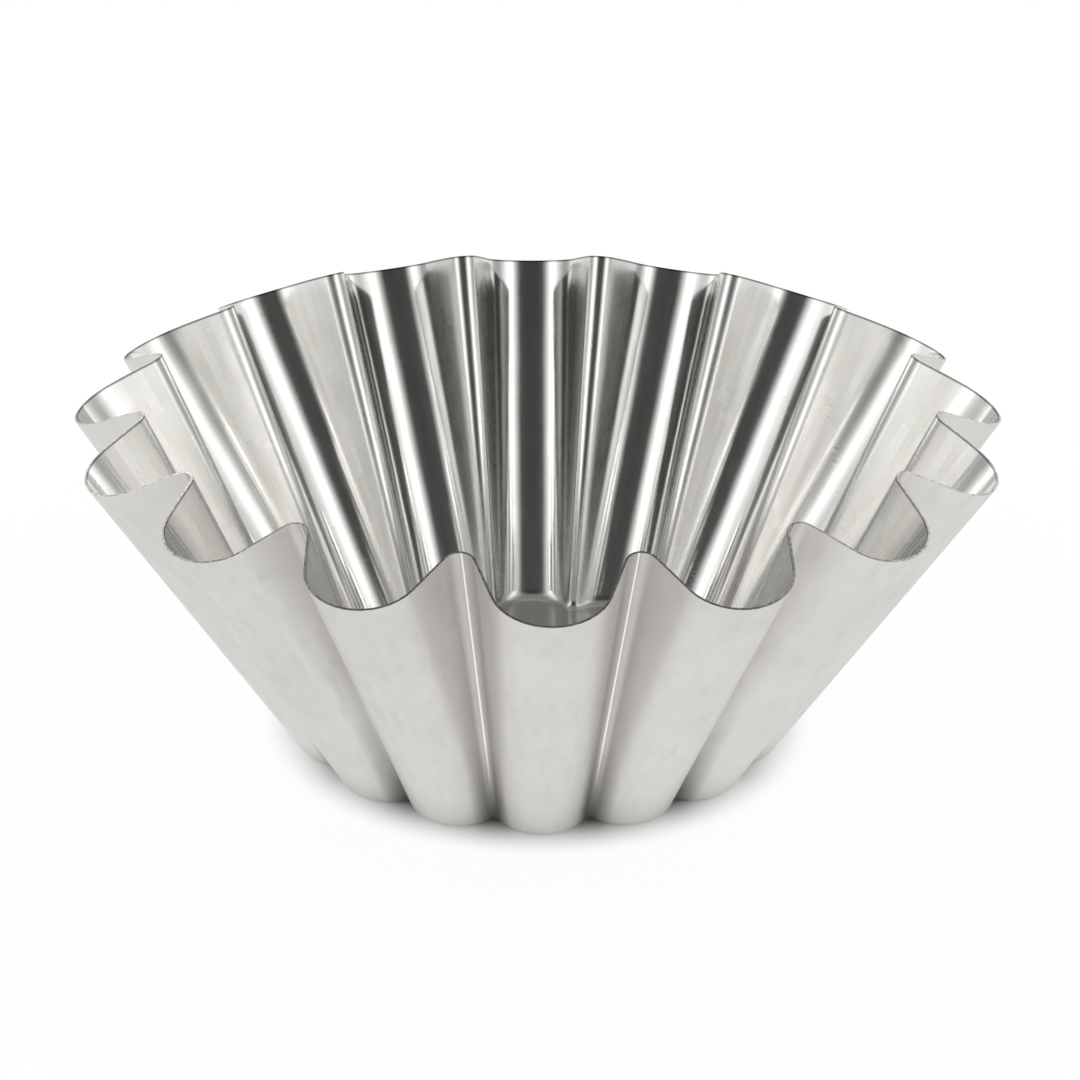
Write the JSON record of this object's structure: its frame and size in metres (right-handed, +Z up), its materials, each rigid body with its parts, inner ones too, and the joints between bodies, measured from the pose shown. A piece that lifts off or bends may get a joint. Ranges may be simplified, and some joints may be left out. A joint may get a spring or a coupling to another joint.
{
  "type": "brioche mould",
  "caption": "Deep flared brioche mould pressed from one tinned steel sheet, with wide round flutes, a wavy cut rim and a flat floor.",
  "frame": {"origin": "middle of the underside of the floor, on the axis of the mould", "axes": "+Z up out of the mouth; +X, -X, +Y and -Y each run through the middle of a lobe"},
  "size_m": [0.22, 0.22, 0.0877],
  "materials": {
    "tinned_steel": "satin outside, bright inside, raw cut rim"
  },
  "bodies": {
    "root": {"mould_shell": "tinned_steel"}
  },
  "joints": []
}
